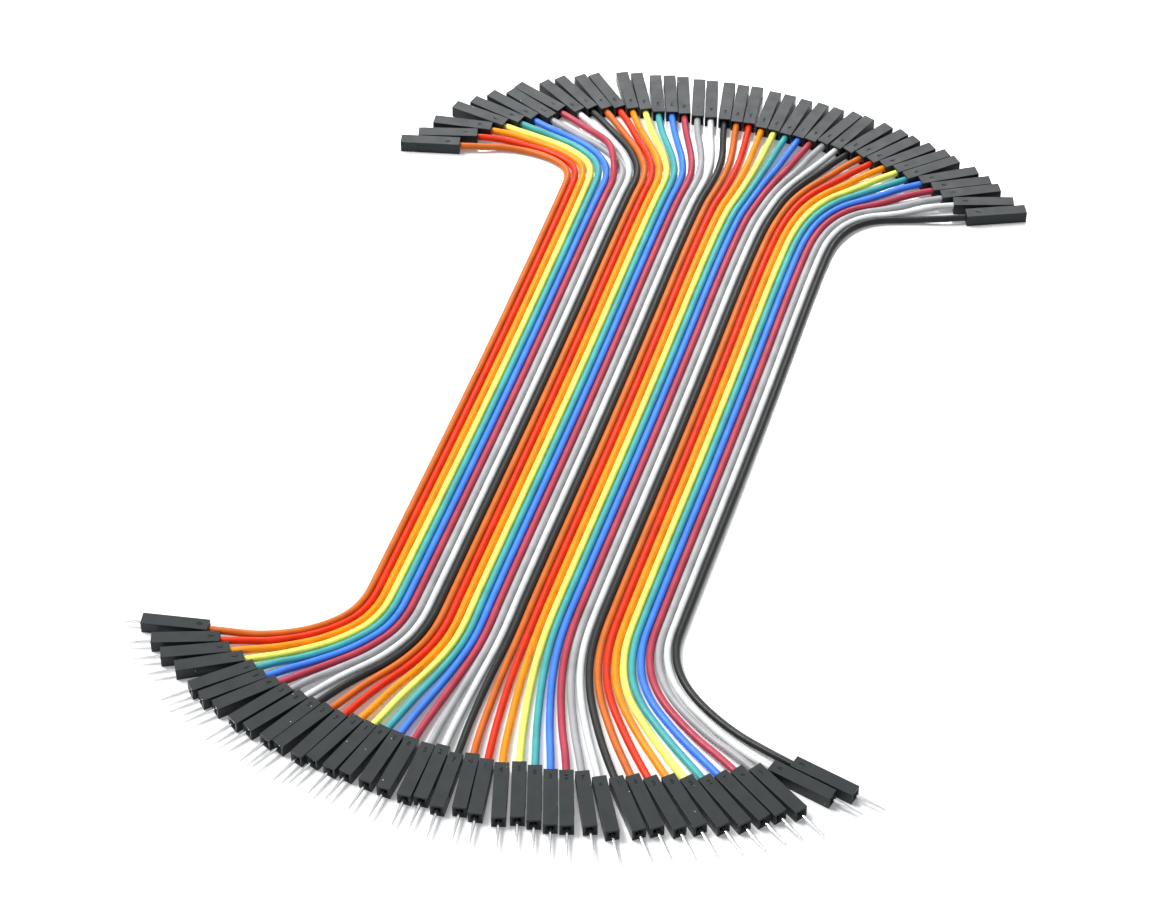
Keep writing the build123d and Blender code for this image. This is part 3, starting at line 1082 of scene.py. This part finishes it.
@dataclass
class Studio:
    """A white table under soft light, and the camera of the photograph."""

    camera_place: Point = (-0.0020, -0.45594, 0.44705)
    camera_drop: float = 44.79
    lens: float = 102.95
    sensor: float = 36.0
    clip_start: float = 0.01
    floor_size: float = 4.0
    floor_colour: Colour = (0.82, 0.83, 0.85)
    floor_roughness: float = 0.14
    floor_ior: float = 1.9
    floor_glow: float = 0.18
    sky_colour: Colour = (0.93, 0.96, 1.0)
    sky_strength: float = 0.30
    white: Colour = (1.0, 1.0, 1.0)
    lamps: tuple[Softbox, ...] = (
        Softbox("key_softbox", (-0.55, 0.25, 0.95), (0.0, 0.0, 0.0), 18.0, (1.0, 0.99, 0.97)),
        Softbox("back_softbox", (0.05, 1.1, 0.72), (0.0, 0.05, 0.0), 6.5, (1.0, 1.0, 1.0)),
    )

    def build(self) -> None:
        """Build the camera, the floor, the lamps and the world."""
        self._camera()
        self._floor()
        for lamp in self.lamps:
            lamp.hang()
        self._world()

    def _camera(self) -> None:
        """Place the camera at the photograph's angle."""
        data = bpy.data.cameras.new("photo_camera")
        data.lens = self.lens
        data.sensor_width = self.sensor
        data.clip_start = self.clip_start
        camera = bpy.data.objects.new("photo_camera", data)
        camera.location = self.camera_place
        camera.rotation_euler = (math.radians(90 - self.camera_drop), 0, 0)
        bpy.context.scene.collection.objects.link(camera)
        bpy.context.scene.camera = camera

    def _floor(self) -> None:
        """Lay the glossy white table."""
        editor = bmesh.new()
        bmesh.ops.create_grid(editor, x_segments=1, y_segments=1, size=self.floor_size)
        floor = Workshop().finish(editor, "floor")
        material = bpy.data.materials.new("floor_white")
        material.use_nodes = True
        tree = material.node_tree
        shader = tree.nodes["Principled BSDF"]
        shader.inputs["Base Color"].default_value = (*self.floor_colour, 1.0)
        shader.inputs["Roughness"].default_value = self.floor_roughness
        shader.inputs["IOR"].default_value = self.floor_ior
        shader.inputs["Emission Color"].default_value = (*self.white, 1.0)
        glow = tree.nodes.new("ShaderNodeMath")
        glow.operation = "MULTIPLY"
        glow.inputs[1].default_value = self.floor_glow
        tree.links.new(self._seen_rays(tree), glow.inputs[0])
        tree.links.new(glow.outputs["Value"], shader.inputs["Emission Strength"])
        floor.data.materials.append(material)

    def _seen_rays(self, tree: bpy.types.NodeTree) -> bpy.types.NodeSocket:
        """Return a value of 1 for the rays that show the background: camera, glossy, transmission."""
        rays = tree.nodes.new("ShaderNodeLightPath")
        mirrored = tree.nodes.new("ShaderNodeMath")
        mirrored.operation = "MAXIMUM"
        seen = tree.nodes.new("ShaderNodeMath")
        seen.operation = "MAXIMUM"
        tree.links.new(rays.outputs["Is Camera Ray"], mirrored.inputs[0])
        tree.links.new(rays.outputs["Is Glossy Ray"], mirrored.inputs[1])
        tree.links.new(mirrored.outputs["Value"], seen.inputs[0])
        tree.links.new(rays.outputs["Is Transmission Ray"], seen.inputs[1])
        return seen.outputs["Value"]

    def _world(self) -> None:
        """Fill the sky with soft light, and show it white."""
        world = bpy.data.worlds.new("white_surround")
        bpy.context.scene.world = world
        world.use_nodes = True
        tree = world.node_tree
        sky = tree.nodes["Background"]
        sky.inputs["Color"].default_value = (*self.sky_colour, 1.0)
        sky.inputs["Strength"].default_value = self.sky_strength
        white = tree.nodes.new("ShaderNodeBackground")
        white.inputs["Color"].default_value = (*self.white, 1.0)
        white.inputs["Strength"].default_value = 1.0
        shown = tree.nodes.new("ShaderNodeMixShader")
        tree.links.new(self._seen_rays(tree), shown.inputs[0])
        tree.links.new(sky.outputs[0], shown.inputs[1])
        tree.links.new(white.outputs[0], shown.inputs[2])
        tree.links.new(shown.outputs[0], tree.nodes["World Output"].inputs["Surface"])


def dress(piece: bpy.types.Object, finish: bpy.types.Material) -> None:
    """Give a whole piece one finish."""
    piece.data.materials.clear()
    piece.data.materials.append(finish)


def main() -> None:
    """Build the ribbon's sub-assemblies in order and light them."""
    surfaces = Surfaces()
    lay = Lay()
    Studio().build()
    log.info("built the studio")
    finishes = {colour: InsulationFinish(colour).material(surfaces) for colour in Insulation}
    Wires(lay, finishes).build()
    housing_finishes = {
        HousingLook.SATIN: HousingFinish().material(surfaces),
        # Painted shade: a darker, duller copy of the plastic, painted into the number's recess.
        HousingLook.RECESS: HousingFinish(
            name="housing_number_recess_painted_shade", colour=(0.006, 0.006, 0.006), roughness=0.7, shine=0.15
        ).material(surfaces),
        # Painted shade: a darker copy of the plastic for a few pin housings that catch less reflected
        # light.
        HousingLook.DARK: HousingFinish(
            name="housing_plastic_painted_shade", colour=(0.005, 0.006, 0.008), roughness=0.3, shine=0.3
        ).material(surfaces),
    }
    Terminals(lay, housing_finishes, ContactFinish().material(surfaces)).build()
    bpy.context.scene.view_settings.view_transform = "Standard"
    log.info("built the terminals")


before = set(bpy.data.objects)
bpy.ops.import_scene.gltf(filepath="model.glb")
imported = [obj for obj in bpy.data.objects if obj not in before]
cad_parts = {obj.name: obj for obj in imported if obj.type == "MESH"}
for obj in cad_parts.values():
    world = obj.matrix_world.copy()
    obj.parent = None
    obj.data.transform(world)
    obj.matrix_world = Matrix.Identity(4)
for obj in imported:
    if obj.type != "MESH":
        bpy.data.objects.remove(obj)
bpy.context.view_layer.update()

if __name__ == "__main__":
    logging.basicConfig(level=logging.INFO, format="%(message)s")
    main()
